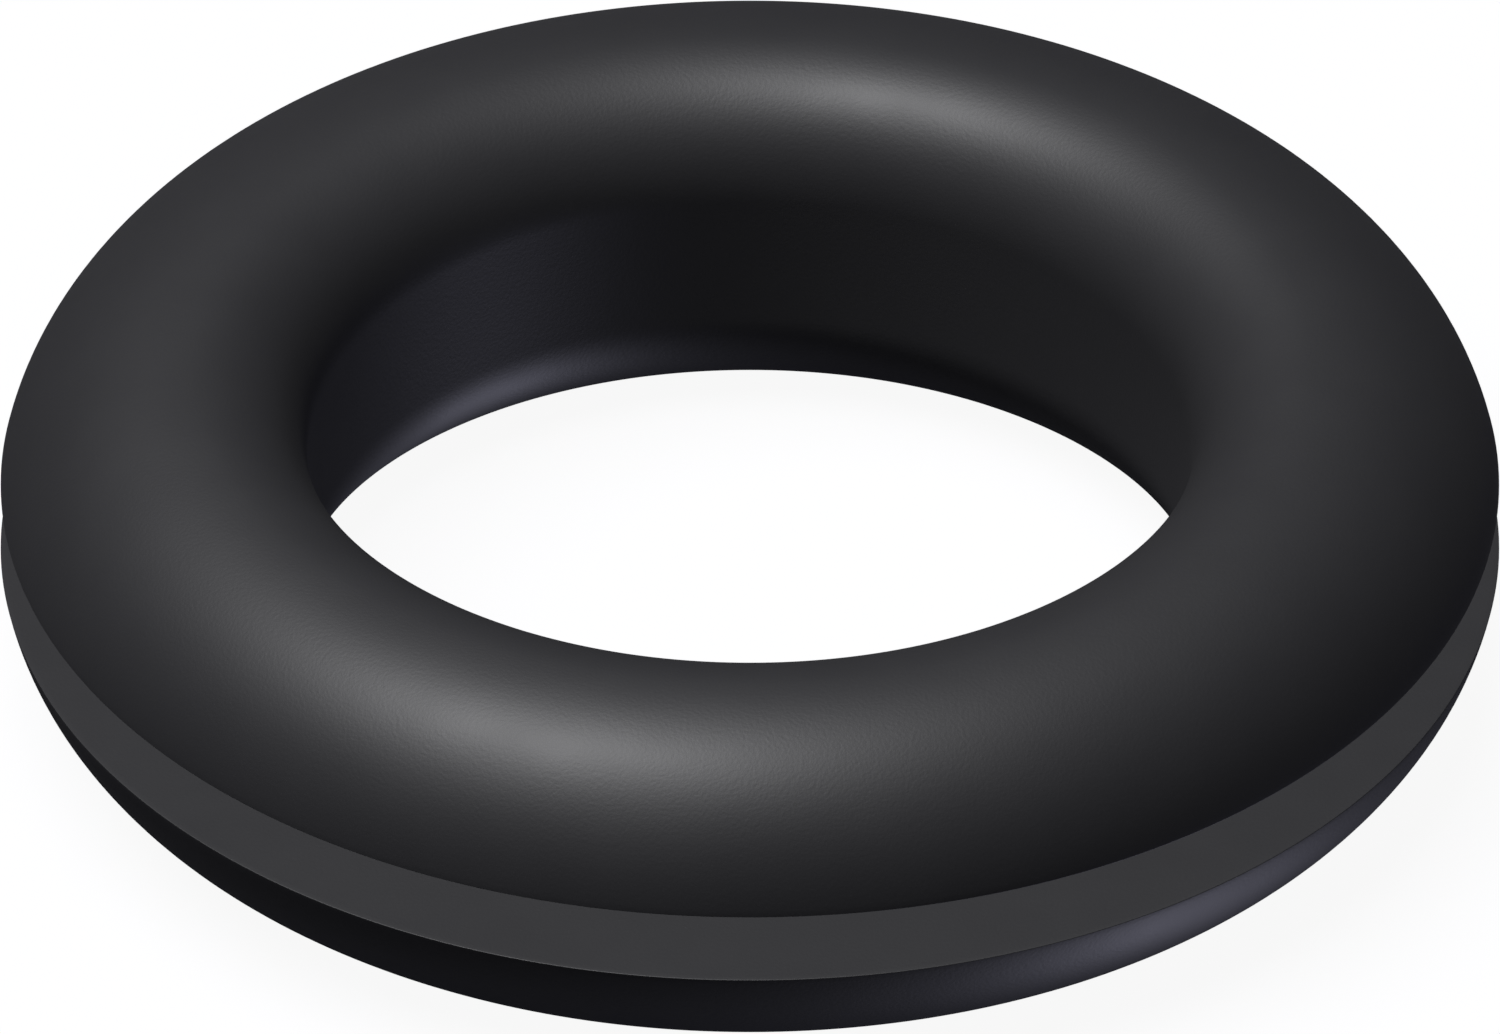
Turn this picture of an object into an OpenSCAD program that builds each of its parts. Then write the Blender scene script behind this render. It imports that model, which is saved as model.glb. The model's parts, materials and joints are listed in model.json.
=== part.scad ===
// Round rubber grommet for a hole in a metal sheet, moulded as one closed ring.
// Two identical rounded flanges stand on either side of a groove that grips the
// edge of the hole, and both mouths of the bore are rounded for the cable.
// The axis is +Z, and the origin is on it at the middle of the groove.

/* [Bore] */
// Diameter of the bore that the cable passes through
bore_d = 18.5; // [10:0.5:22]
// Radius of the rounding at each mouth of the bore
mouth_r = 2.5; // [0.5:0.1:2.5]

/* [Flanges] */
// Diameter of the full-round rim at its middle, where the groove cuts it away
rim_d = 31.5; // [29:0.5:44]
// Height over both flanges, which is also the diameter of the rim's rounding
height = 8; // [6:0.5:11.5]

/* [Groove] */
// Width of the groove, which takes a sheet of this thickness
groove_w = 1.6; // [0.8:0.1:3.2]
// Diameter of the groove's floor, which sits in a hole of this size
floor_d = 25; // [21:0.5:29]
// Radius in each corner of the groove's floor
root_r = 0.3; // [0.1:0.05:0.4]

/* [Hidden] */
$fn = 180;

bore_r = bore_d / 2;
floor_r = floor_d / 2;
// The rim's rounding runs over the whole height in one half circle
rim_round_r = height / 2;
// Circle of the flanges' highest points, where the rim's rounding begins
crown_r = rim_d / 2 - rim_round_r;
// The mouth's rounding ends at the crown at the latest
mouth_fit_r = min(mouth_r, crown_r - bore_r);

// A quarter of a disc, with its corner at the origin, to +X and +Y
module quarter_disc(r) {
    intersection() {
        circle(r = r);
        square(2 * r);
    }
}

// Half a disc, with its flat side on the Y axis, to +X
module half_disc(r) {
    intersection() {
        circle(r = r);
        translate([0, -2 * r]) square([2 * r, 4 * r]);
    }
}

// A bar from x = from to x = to, centred on the X axis, with both of its
// corners at x = from rounded
module round_nosed_bar(from, to, thickness, corner_r) {
    straight = thickness - 2 * corner_r;
    translate([from, -straight / 2]) square([corner_r, straight]);
    for (side = [0, 1]) mirror([0, side])
        translate([from + corner_r, straight / 2]) mirror([1, 0]) quarter_disc(corner_r);
    if (to > from + corner_r)
        translate([from + corner_r, -thickness / 2]) square([to - from - corner_r, thickness]);
}

// The ring's section: the bore's wall and mouths, the rim's full round, which
// runs on from the crown with no flat between, and the groove cut into the rim
module section() {
    difference() {
        union() {
            round_nosed_bar(bore_r, crown_r, height, mouth_fit_r);
            translate([crown_r, 0]) half_disc(rim_round_r);
        }
        round_nosed_bar(floor_r, rim_d, groove_w, root_r);
    }
}

module grommet() {
    color("#2e2e30") rotate_extrude() section();
}

grommet();
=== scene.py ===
import json
import math

import bmesh
import bpy
from bpy.props import FloatProperty, FloatVectorProperty, IntProperty, PointerProperty
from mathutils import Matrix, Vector


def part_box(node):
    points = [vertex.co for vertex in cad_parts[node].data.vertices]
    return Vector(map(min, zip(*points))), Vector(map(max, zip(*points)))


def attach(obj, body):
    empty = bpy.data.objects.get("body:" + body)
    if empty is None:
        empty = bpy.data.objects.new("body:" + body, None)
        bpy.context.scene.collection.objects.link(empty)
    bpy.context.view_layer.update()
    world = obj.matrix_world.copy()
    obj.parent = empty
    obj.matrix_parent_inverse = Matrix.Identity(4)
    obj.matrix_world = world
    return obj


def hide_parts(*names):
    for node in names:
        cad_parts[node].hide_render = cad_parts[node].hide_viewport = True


bl_info = {
    "name": "Rubber grommet",
    "version": (1, 0, 0),
    "blender": (4, 5, 0),
    "location": "3D View > Sidebar > Grommet",
    "description": "Dresses a moulded rubber grommet and sets it on a small studio stage",
    "category": "Object",
}

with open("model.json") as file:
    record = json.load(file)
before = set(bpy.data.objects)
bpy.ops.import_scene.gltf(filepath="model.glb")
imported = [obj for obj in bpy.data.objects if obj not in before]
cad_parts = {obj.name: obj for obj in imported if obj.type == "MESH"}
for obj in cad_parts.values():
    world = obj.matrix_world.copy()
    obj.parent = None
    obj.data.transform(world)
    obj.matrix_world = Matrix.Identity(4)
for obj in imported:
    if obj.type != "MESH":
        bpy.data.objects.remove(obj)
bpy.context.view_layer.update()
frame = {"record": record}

MM = 0.001
NODE = "grommet"
RING = "rubber_ring"
NODE_LOW, NODE_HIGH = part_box(NODE)
MOUNTS = {mount["name"]: mount["dims"] for mount in frame["record"]["mounts"]}

# Ends of the section's stretches that lie closer than this are one point
JOIN_DISTANCE = 0.001 * MM
# Nearly all of a noise texture's values lie between these two
NOISE_LOW, NOISE_HIGH = 0.3, 0.7

# From the ring's axis to each edge of the floor, far outside the frame
FLOOR_REACH = 3000 * MM
# The view is parallel, so the camera only has to stand clear of the ring
CAMERA_DISTANCE = 200 * MM
# The elevation at which three square axes look equally long
VIEW_ELEVATION = math.degrees(math.atan(math.sqrt(0.5)))
# The frame in pixels, and how wide and how far down the ring shows in it
FRAME_WIDTH_PX = 1500
FRAME_HEIGHT_PX = 1034
RING_WIDTH_PX = 1498.7
RING_CENTRE_Y_PX = 516.34


def linear(hex_colour):
    """Turn an sRGB hex colour, such as #2b2b2d, into linear red, green and blue."""
    channels = [int(hex_colour[start:start + 2], 16) / 255 for start in (1, 3, 5)]
    return tuple(c / 12.92 if c <= 0.04045 else ((c + 0.055) / 1.055) ** 2.4 for c in channels)


def add_node(tree, kind, inputs=None, **settings):
    """Add a node to a tree, with its settings, and link or set each input that is given."""
    node = tree.nodes.new(kind)
    for name, value in settings.items():
        setattr(node, name, value)
    for name, value in (inputs or {}).items():
        if isinstance(value, bpy.types.NodeSocket):
            tree.links.new(value, node.inputs[name])
        else:
            node.inputs[name].default_value = value
    return node


# ---------------------------------------------------------------- sizes and colours

class RingSizes(bpy.types.PropertyGroup):
    """Sizes of the ring's section and of the mesh that is made from it"""

    height: FloatProperty(
        name="Height", description="Height over both flanges",
        default=NODE_HIGH.z - NODE_LOW.z, min=2 * MM, unit="LENGTH", precision=5)
    bore_radius: FloatProperty(
        name="Bore radius", description="Radius of the bore's straight wall",
        default=MOUNTS["bore"]["r_mm"] * MM, min=1 * MM, unit="LENGTH", precision=5)
    bore_wall: FloatProperty(
        name="Bore wall", description="Length of the straight wall between the rounded mouths",
        default=MOUNTS["bore"]["length_mm"] * MM, min=0.1 * MM, unit="LENGTH", precision=5)
    groove_width: FloatProperty(
        name="Groove width", description="Width of the groove, which is the sheet's thickness",
        default=MOUNTS["panel_groove"]["length_mm"] * MM, min=0.2 * MM, unit="LENGTH", precision=5)
    floor_radius: FloatProperty(
        name="Floor radius", description="Radius of the groove's floor, which is that of the hole",
        default=MOUNTS["panel_groove"]["r_mm"] * MM, min=1 * MM, unit="LENGTH", precision=5)
    root_radius: FloatProperty(
        name="Root radius", description="Radius in each corner of the groove's floor",
        default=0.3 * MM, min=0.01 * MM, unit="LENGTH", precision=5)
    lip_radius: FloatProperty(
        name="Lip radius", description="Radius of the moulded edge where the rim meets the groove",
        default=0.015 * MM, min=0.005 * MM, unit="LENGTH", precision=5)
    step: FloatProperty(
        name="Step", description="Length of the mesh's steps along the section's straight stretches",
        default=0.125 * MM, min=0.05 * MM, unit="LENGTH", precision=5)
    arc_points: IntProperty(
        name="Arc points", description="Points along each mouth's rounding and each rim's",
        default=37, min=9, max=65)
    fillet_points: IntProperty(
        name="Fillet points", description="Points along each lip and each root",
        default=7, min=3, max=17)
    segments: IntProperty(
        name="Segments", description="Steps round the ring",
        default=288, min=32, max=384)


class RubberFinish(bpy.types.PropertyGroup):
    """Colour, gloss and grain of the moulded rubber"""

    colour: FloatVectorProperty(
        name="Colour", description="Colour of the rubber, filled with carbon black",
        default=linear("#2b2b2d"), size=3, min=0, max=1, subtype="COLOR")
    bloom: FloatVectorProperty(
        name="Bloom", description="Colour where a little wax has come to the surface",
        default=linear("#2d2d2f"), size=3, min=0, max=1, subtype="COLOR")
    patch_size: FloatProperty(
        name="Patch size", description="Width of the patches in which colour and gloss stray",
        default=1.8 * MM, min=0.1 * MM, unit="LENGTH", precision=5)
    roughness: FloatProperty(
        name="Roughness", description="Roughness of the skin that the mould leaves",
        default=0.54, min=0, max=1, subtype="FACTOR")
    roughness_spread: FloatProperty(
        name="Roughness spread", description="How far the roughness strays to each side",
        default=0.01, min=0, max=0.3, subtype="FACTOR")
    ior: FloatProperty(
        name="IOR", description="Index of refraction of the rubber",
        default=1.57, min=1, max=2)
    grain_size: FloatProperty(
        name="Grain size", description="Width of the grain that the blasted mould leaves",
        default=0.08 * MM, min=0.01 * MM, unit="LENGTH", precision=5)
    grain_depth: FloatProperty(
        name="Grain depth", description="Depth of that grain",
        default=0.0035 * MM, min=0, unit="LENGTH", precision=7)


class StageSetup(bpy.types.PropertyGroup):
    """Floor, lamps and surroundings"""

    floor_colour: FloatVectorProperty(
        name="Floor colour", description="Colour of the floor",
        default=linear("#ffffff"), size=3, min=0, max=1, subtype="COLOR")
    shadow_share: FloatProperty(
        name="Shadow share", description="Share of the floor's light that the ring can shade",
        default=0.07, min=0, max=1, subtype="FACTOR")
    floor_level: FloatProperty(
        name="Floor level", description="Light of the floor's lamp, at which the floor is just white",
        default=1.14, min=0, max=2)
    floor_lamp_colour: FloatVectorProperty(
        name="Floor lamp colour", description="Colour of the floor's lamp, which is a little cool",
        default=linear("#f2f2ff"), size=3, min=0, max=1, subtype="COLOR")
    surround: FloatVectorProperty(
        name="Surround", description="Colour of the dim studio round the lamps",
        default=linear("#28282e"), size=3, min=0, max=1, subtype="COLOR")
    key_level: FloatProperty(
        name="Key level", description="Light of the key lamp on a face turned to it, where 1 shows white",
        default=1.03, min=0, max=2)
    key_colour: FloatVectorProperty(
        name="Key colour", description="Colour of the key lamp",
        default=linear("#fdfdff"), size=3, min=0, max=1, subtype="COLOR")
    kick_level: FloatProperty(
        name="Kick level", description="Light of the small lamp that makes the low highlight",
        default=0.165, min=0, max=2)
    kick_colour: FloatVectorProperty(
        name="Kick colour", description="Colour of the small lamp, which is a little cooler",
        default=linear("#e4e4ff"), size=3, min=0, max=1, subtype="COLOR")


# ---------------------------------------------------------------- rubber ring

SOCKET_KINDS = {"FLOAT": "NodeSocketFloat", "INT": "NodeSocketInt"}

# Numbers that the tables below name
PLAIN_NUMBERS = {
    "Middle": 0.0,
    "Half": 0.5,
    "Minus one": -1.0,
    "Quarter": math.pi / 2,
    "Quarter back": -math.pi / 2,
}

# Lengths and angles that follow from the ring's sizes: name, operation and terms. The section is
# measured across from the ring's axis and up from the middle of the groove.
WORKED_OUT = (
    ("Half height", "MULTIPLY", "Height", "Half"),
    ("Half wall", "MULTIPLY", "Bore wall", "Half"),
    ("Half groove", "MULTIPLY", "Groove width", "Half"),
    ("Mouth radius", "SUBTRACT", "Half height", "Half wall"),
    ("Crown radius", "ADD", "Bore radius", "Mouth radius"),
    ("Crown back", "MULTIPLY", "Crown radius", "Minus one"),
    # The lip's small rounding touches the rim's arc from inside, and the groove's wall
    ("Lip height", "ADD", "Half groove", "Lip radius"),
    ("Lip reach", "SUBTRACT", "Half height", "Lip radius"),
    ("Lip sine", "DIVIDE", "Lip height", "Lip reach"),
    ("Lip angle", "ARCSINE", "Lip sine"),
    ("Lip cosine", "COSINE", "Lip angle"),
    ("Lip overhang", "MULTIPLY", "Lip reach", "Lip cosine"),
    ("Lip centre", "ADD", "Crown radius", "Lip overhang"),
    ("Lip sweep", "ADD", "Quarter", "Lip angle"),
    ("Rim sweep", "SUBTRACT", "Quarter", "Lip angle"),
    ("Root centre", "ADD", "Floor radius", "Root radius"),
    ("Root height", "SUBTRACT", "Half groove", "Root radius"),
)

# Roundings of the section's upper half: centre across and up, radius, start, sweep and points
ROUNDINGS = (
    ("Crown radius", "Half wall", "Mouth radius", "Quarter", "Quarter", "Arc points"),
    ("Crown radius", "Middle", "Half height", "Lip angle", "Rim sweep", "Arc points"),
    ("Lip centre", "Lip height", "Lip radius", "Quarter back", "Lip sweep", "Fillet points"),
    ("Root centre", "Root height", "Root radius", "Quarter", "Quarter", "Fillet points"),
)

# Its straight stretches: start across and up, and end across and up
STRAIGHTS = (
    ("Bore radius", "Middle", "Bore radius", "Half wall"),
    ("Floor radius", "Middle", "Floor radius", "Root height"),
    ("Root centre", "Half groove", "Lip centre", "Half groove"),
)


def draw_section(tree, known):
    """Draw the ring's section as one closed curve, from named lengths and angles."""
    half = add_node(tree, "GeometryNodeJoinGeometry")
    for across, up, radius, start, sweep, points in ROUNDINGS:
        arc = add_node(
            tree, "GeometryNodeCurveArc",
            {"Resolution": known[points], "Radius": known[radius],
             "Start Angle": known[start], "Sweep Angle": known[sweep]})
        centre = add_node(tree, "ShaderNodeCombineXYZ", {"X": known[across], "Y": known[up]})
        moved = add_node(
            tree, "GeometryNodeTransform",
            {"Geometry": arc.outputs["Curve"], "Translation": centre.outputs["Vector"]})
        tree.links.new(moved.outputs["Geometry"], half.inputs["Geometry"])
    for start_across, start_up, end_across, end_up in STRAIGHTS:
        start = add_node(
            tree, "ShaderNodeCombineXYZ", {"X": known[start_across], "Y": known[start_up]})
        end = add_node(tree, "ShaderNodeCombineXYZ", {"X": known[end_across], "Y": known[end_up]})
        line = add_node(
            tree, "GeometryNodeCurvePrimitiveLine",
            {"Start": start.outputs["Vector"], "End": end.outputs["Vector"]})
        cut = add_node(
            tree, "GeometryNodeResampleCurve",
            {"Curve": line.outputs["Curve"], "Length": known["Step"]}, mode="LENGTH")
        tree.links.new(cut.outputs["Curve"], half.inputs["Geometry"])
    mirrored = add_node(
        tree, "GeometryNodeTransform", {"Geometry": half.outputs["Geometry"], "Scale": (1, -1, 1)})
    whole = add_node(tree, "GeometryNodeJoinGeometry", {"Geometry": half.outputs["Geometry"]})
    tree.links.new(mirrored.outputs["Geometry"], whole.inputs["Geometry"])
    # The stretches become one curve once their ends are joined
    edges = add_node(tree, "GeometryNodeCurveToMesh", {"Curve": whole.outputs["Geometry"]})
    joined = add_node(
        tree, "GeometryNodeMergeByDistance",
        {"Geometry": edges.outputs["Mesh"], "Distance": JOIN_DISTANCE})
    outline = add_node(tree, "GeometryNodeMeshToCurve", {"Mesh": joined.outputs["Geometry"]})
    return outline.outputs["Curve"]


def ring_tree():
    """Make the node tree that draws the ring's section and turns it round the axis."""
    tree = bpy.data.node_groups.new("turned_ring", "GeometryNodeTree")
    tree.interface.new_socket("Geometry", in_out="OUTPUT", socket_type="NodeSocketGeometry")
    for key in RingSizes.__annotations__:
        size = RingSizes.bl_rna.properties[key]
        tree.interface.new_socket(size.name, in_out="INPUT", socket_type=SOCKET_KINDS[size.type])
    tree.interface.new_socket("Material", in_out="INPUT", socket_type="NodeSocketMaterial")

    known = dict(PLAIN_NUMBERS)
    known.update(add_node(tree, "NodeGroupInput").outputs.items())
    for name, operation, *terms in WORKED_OUT:
        result = add_node(
            tree, "ShaderNodeMath",
            {place: known[term] for place, term in enumerate(terms)}, operation=operation)
        known[name] = result.outputs["Value"]

    # The section is carried round a circle through the crown, so it is first moved back by as much
    back = add_node(tree, "ShaderNodeCombineXYZ", {"X": known["Crown back"]})
    section = add_node(
        tree, "GeometryNodeTransform",
        {"Geometry": draw_section(tree, known), "Translation": back.outputs["Vector"]})
    circle = add_node(
        tree, "GeometryNodeCurvePrimitiveCircle",
        {"Resolution": known["Segments"], "Radius": known["Crown radius"]})
    ring = add_node(
        tree, "GeometryNodeCurveToMesh",
        {"Curve": circle.outputs["Curve"], "Profile Curve": section.outputs["Geometry"]})
    # This leaves the faces turned inwards
    turned = add_node(tree, "GeometryNodeFlipFaces", {"Mesh": ring.outputs["Mesh"]})
    smooth = add_node(tree, "GeometryNodeSetShadeSmooth", {"Geometry": turned.outputs["Mesh"]})
    real = add_node(tree, "GeometryNodeRealizeInstances", {"Geometry": smooth.outputs["Geometry"]})
    dressed = add_node(
        tree, "GeometryNodeSetMaterial",
        {"Geometry": real.outputs["Geometry"], "Material": known["Material"]})
    add_node(tree, "NodeGroupOutput", {"Geometry": dressed.outputs["Geometry"]})
    return tree


def moulded_rubber(finish):
    """Compression-moulded rubber filled with carbon black.

    The filler makes it near black all through. The blasted mould leaves a satin skin, which
    spreads a lamp into one broad soft highlight, with a very fine grain. The real grain is about
    half as wide, too fine to show, so it is drawn as coarse as it needs to show up close.
    """
    material = bpy.data.materials.new("moulded_rubber")
    material.use_nodes = True
    tree = material.node_tree
    tree.nodes.clear()
    place = add_node(tree, "ShaderNodeTexCoord").outputs["Object"]
    patches = add_node(
        tree, "ShaderNodeTexNoise", {"Vector": place, "Scale": 1 / finish.patch_size})
    grain = add_node(
        tree, "ShaderNodeTexNoise", {"Vector": place, "Scale": 1 / finish.grain_size})
    colour = add_node(
        tree, "ShaderNodeMix",
        {"Factor": patches.outputs["Fac"], "A": (*finish.colour, 1), "B": (*finish.bloom, 1)},
        data_type="RGBA")
    roughness = add_node(
        tree, "ShaderNodeMapRange",
        {"Value": patches.outputs["Fac"], "From Min": NOISE_LOW, "From Max": NOISE_HIGH,
         "To Min": finish.roughness - finish.roughness_spread,
         "To Max": finish.roughness + finish.roughness_spread})
    bump = add_node(
        tree, "ShaderNodeBump",
        {"Height": grain.outputs["Fac"], "Distance": finish.grain_depth, "Strength": 1.0})
    shader = add_node(
        tree, "ShaderNodeBsdfPrincipled",
        {"Base Color": colour.outputs["Result"], "Roughness": roughness.outputs["Result"],
         "IOR": finish.ior, "Normal": bump.outputs["Normal"]})
    add_node(tree, "ShaderNodeOutputMaterial", {"Surface": shader.outputs["BSDF"]})
    return material


def check_closed(mesh):
    """Stop if the mesh has an open edge, or its faces point inwards."""
    shape = bmesh.new()
    shape.from_mesh(mesh)
    sound = shape.calc_volume(signed=True) > 0 and all(edge.is_manifold for edge in shape.edges)
    shape.free()
    if not sound:
        raise RuntimeError(f"{mesh.name} is not a closed mesh with its faces outwards")


class GROMMET_OT_ring(bpy.types.Operator):
    """Turn the grommet's section into a ring of moulded rubber"""

    bl_idname = "grommet.ring"
    bl_label = "Rubber ring"
    bl_options = {"REGISTER", "UNDO"}

    def execute(self, context):
        sizes = context.scene.grommet_ring
        blank = bpy.data.meshes.new("blank")
        ring = bpy.data.objects.new(RING, blank)
        context.scene.collection.objects.link(ring)
        modifier = ring.modifiers.new("Turned ring", "NODES")
        modifier.node_group = ring_tree()
        values = {
            sizes.bl_rna.properties[key].name: getattr(sizes, key)
            for key in RingSizes.__annotations__}
        values["Material"] = moulded_rubber(context.scene.grommet_rubber)
        # A modifier keeps each of its inputs under the identifier of the tree's socket
        for socket in modifier.node_group.interface.items_tree:
            if socket.in_out == "INPUT":
                modifier[socket.identifier] = values[socket.name]
        evaluated = ring.evaluated_get(context.evaluated_depsgraph_get())
        mesh = bpy.data.meshes.new_from_object(evaluated)
        ring.modifiers.remove(modifier)
        ring.data = mesh
        bpy.data.meshes.remove(blank)
        mesh.name = RING
        check_closed(mesh)
        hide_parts(NODE)
        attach(ring, "root")
        return {"FINISHED"}


# ---------------------------------------------------------------- stage

def backlit_opal_acrylic(setup):
    """Opal acrylic sheet with light coming up through it, as on a studio's light table.

    It is an even white to the eye, in reflections and through glass, and a shadow on it stays
    faint, because only a part of its light comes from the lamp above.
    """
    material = bpy.data.materials.new("backlit_opal_acrylic")
    material.use_nodes = True
    tree = material.node_tree
    tree.nodes.clear()
    ray = add_node(tree, "ShaderNodeLightPath").outputs
    seen_or_mirrored = add_node(
        tree, "ShaderNodeMath", {0: ray["Is Camera Ray"], 1: ray["Is Glossy Ray"]},
        operation="MAXIMUM")
    seen_at_all = add_node(
        tree, "ShaderNodeMath",
        {0: seen_or_mirrored.outputs["Value"], 1: ray["Is Transmission Ray"]},
        operation="MAXIMUM")
    glow = add_node(
        tree, "ShaderNodeMath", {0: seen_at_all.outputs["Value"], 1: 1 - setup.shadow_share},
        operation="MULTIPLY")
    light = add_node(
        tree, "ShaderNodeEmission",
        {"Color": (*setup.floor_colour, 1), "Strength": glow.outputs["Value"]})
    lit_part = tuple(setup.shadow_share * channel for channel in setup.floor_colour)
    skin = add_node(tree, "ShaderNodeBsdfDiffuse", {"Color": (*lit_part, 1)})
    both = add_node(
        tree, "ShaderNodeAddShader", {0: light.outputs["Emission"], 1: skin.outputs["BSDF"]})
    add_node(tree, "ShaderNodeOutputMaterial", {"Surface": both.outputs["Shader"]})
    return material


def add_floor(setup):
    """Lay a wide white floor under the ring."""
    corners = ((-1, -1), (1, -1), (1, 1), (-1, 1))
    mesh = bpy.data.meshes.new("floor")
    mesh.from_pydata(
        [(x * FLOOR_REACH, y * FLOOR_REACH, NODE_LOW.z) for x, y in corners], [], [(0, 1, 2, 3)])
    mesh.materials.append(backlit_opal_acrylic(setup))
    floor = bpy.data.objects.new("floor", mesh)
    bpy.context.scene.collection.objects.link(floor)
    return floor


def towards(azimuth, elevation):
    """The direction from the object to a place seen from it, in degrees. Azimuth 0 is the front."""
    a, e = math.radians(azimuth), math.radians(elevation)
    return Vector((math.sin(a) * math.cos(e), -math.cos(a) * math.cos(e), math.sin(e)))


def add_lamp(name, direction, distance, width, level, colour, lights, casters=None):
    """Add a round soft lamp that looks at the object.

    Width is the angle that the lamp fills, seen from the object, in degrees. Level is the light
    that it throws on a face turned to it, where 1 shows white as white. Lights is the collection
    that it lights, and casters says what stops its light.
    """
    radius = distance * math.tan(math.radians(width) / 2)
    lamp = bpy.data.lights.new(name, "AREA")
    lamp.shape = "DISK"
    lamp.size = 2 * radius
    lamp.color = colour
    # A white face turned to a round lamp sends back energy / (pi^2 (distance^2 + radius^2))
    lamp.energy = level * math.pi ** 2 * (distance ** 2 + radius ** 2)
    holder = bpy.data.objects.new(name, lamp)
    holder.location = direction * distance
    holder.rotation_euler = direction.to_track_quat("Z", "Y").to_euler()
    holder.visible_camera = False
    holder.light_linking.receiver_collection = lights
    holder.light_linking.blocker_collection = casters
    bpy.context.scene.collection.objects.link(holder)


def light_group(name, *members, state="INCLUDE"):
    """A collection that says what a lamp lights, or what does or doesn't stop its light."""
    group = bpy.data.collections.new(name)
    for member in members:
        group.objects.link(member)
    for member in group.collection_objects:
        member.light_linking.link_state = state
    return group


def add_lamps(setup, ring, floor):
    """Light the ring from above and, more weakly, from below, and the floor by itself.

    The ring's lamps pass through ring and floor alike, so that the groove and the bore are lit
    as the flanges are. The floor's lamp is stopped by the ring, which gives the shadow.
    """
    on_ring = light_group("lit_ring", ring)
    on_floor = light_group("lit_floor", floor)
    unstopped = light_group("unstopped", ring, floor, state="EXCLUDE")
    key_side = towards(azimuth=-71, elevation=73.1)
    low_side = towards(azimuth=93.6, elevation=-58.5)
    add_lamp(
        "key_lamp", key_side, distance=290 * MM, width=11, level=setup.key_level,
        colour=setup.key_colour, lights=on_ring, casters=unstopped)
    add_lamp(
        "kick_lamp", low_side, distance=3000 * MM, width=12, level=setup.kick_level,
        colour=setup.kick_colour, lights=on_ring, casters=unstopped)
    add_lamp(
        "floor_lamp", key_side, distance=6000 * MM, width=50, level=setup.floor_level,
        colour=setup.floor_lamp_colour, lights=on_floor)
    # The floor's glow stays off the ring, which would mirror it in its bore and undersides
    floor.light_linking.receiver_collection = on_floor


def set_surroundings(setup):
    """Fill the room with dim light, and make it as white as the floor below the horizon."""
    world = bpy.data.worlds.new("studio")
    bpy.context.scene.world = world
    world.use_nodes = True
    tree = world.node_tree
    tree.nodes.clear()
    direction = add_node(tree, "ShaderNodeTexCoord").outputs["Generated"]
    height = add_node(tree, "ShaderNodeSeparateXYZ", {"Vector": direction}).outputs["Z"]
    below = add_node(tree, "ShaderNodeMath", {0: height, 1: 0.0}, operation="LESS_THAN")
    colour = add_node(
        tree, "ShaderNodeMix",
        {"Factor": below.outputs["Value"], "A": (*setup.surround, 1), "B": (*setup.floor_colour, 1)},
        data_type="RGBA")
    background = add_node(tree, "ShaderNodeBackground", {"Color": colour.outputs["Result"]})
    add_node(tree, "ShaderNodeOutputWorld", {"Surface": background.outputs["Background"]})


def add_camera():
    """Look down on the ring with a parallel view that it fills from side to side."""
    camera = bpy.data.cameras.new("camera")
    camera.type = "ORTHO"
    camera.ortho_scale = (NODE_HIGH.x - NODE_LOW.x) * FRAME_WIDTH_PX / RING_WIDTH_PX
    pixel = camera.ortho_scale / FRAME_WIDTH_PX
    lift = (RING_CENTRE_Y_PX - FRAME_HEIGHT_PX / 2) * pixel
    turn = towards(azimuth=0, elevation=VIEW_ELEVATION).to_track_quat("Z", "Y")
    holder = bpy.data.objects.new("camera", camera)
    holder.location = (NODE_LOW + NODE_HIGH) / 2 + turn @ Vector((0, lift, CAMERA_DISTANCE))
    holder.rotation_euler = turn.to_euler()
    bpy.context.scene.collection.objects.link(holder)
    bpy.context.scene.camera = holder


class GROMMET_OT_stage(bpy.types.Operator):
    """Set up the floor, the lamps, the surroundings and the camera"""

    bl_idname = "grommet.stage"
    bl_label = "Studio stage"
    bl_options = {"REGISTER", "UNDO"}

    def execute(self, context):
        setup = context.scene.grommet_stage
        floor = add_floor(setup)
        add_lamps(setup, bpy.data.objects[RING], floor)
        set_surroundings(setup)
        add_camera()
        context.scene.view_settings.view_transform = "Standard"
        return {"FINISHED"}


# ---------------------------------------------------------------- panel

class GROMMET_PT_sidebar(bpy.types.Panel):
    """Sizes, finish and stage of the grommet"""

    bl_idname = "GROMMET_PT_sidebar"
    bl_label = "Grommet"
    bl_space_type = "VIEW_3D"
    bl_region_type = "UI"
    bl_category = "Grommet"

    def draw(self, context):
        scene = context.scene
        for groups, operator in (
                ((scene.grommet_ring, scene.grommet_rubber), GROMMET_OT_ring),
                ((scene.grommet_stage,), GROMMET_OT_stage)):
            column = self.layout.column()
            for group in groups:
                for name in type(group).__annotations__:
                    column.prop(group, name)
            column.operator(operator.bl_idname)


CLASSES = (RingSizes, RubberFinish, StageSetup, GROMMET_OT_ring, GROMMET_OT_stage, GROMMET_PT_sidebar)
SCENE_GROUPS = {"grommet_ring": RingSizes, "grommet_rubber": RubberFinish, "grommet_stage": StageSetup}


def register():
    for each in CLASSES:
        bpy.utils.register_class(each)
    for name, group in SCENE_GROUPS.items():
        setattr(bpy.types.Scene, name, PointerProperty(type=group))


def unregister():
    for name in SCENE_GROUPS:
        delattr(bpy.types.Scene, name)
    for each in reversed(CLASSES):
        bpy.utils.unregister_class(each)


def main():
    """Make the ring and its stage."""
    register()
    bpy.ops.grommet.ring()
    bpy.ops.grommet.stage()


if __name__ == "__main__":
    main()
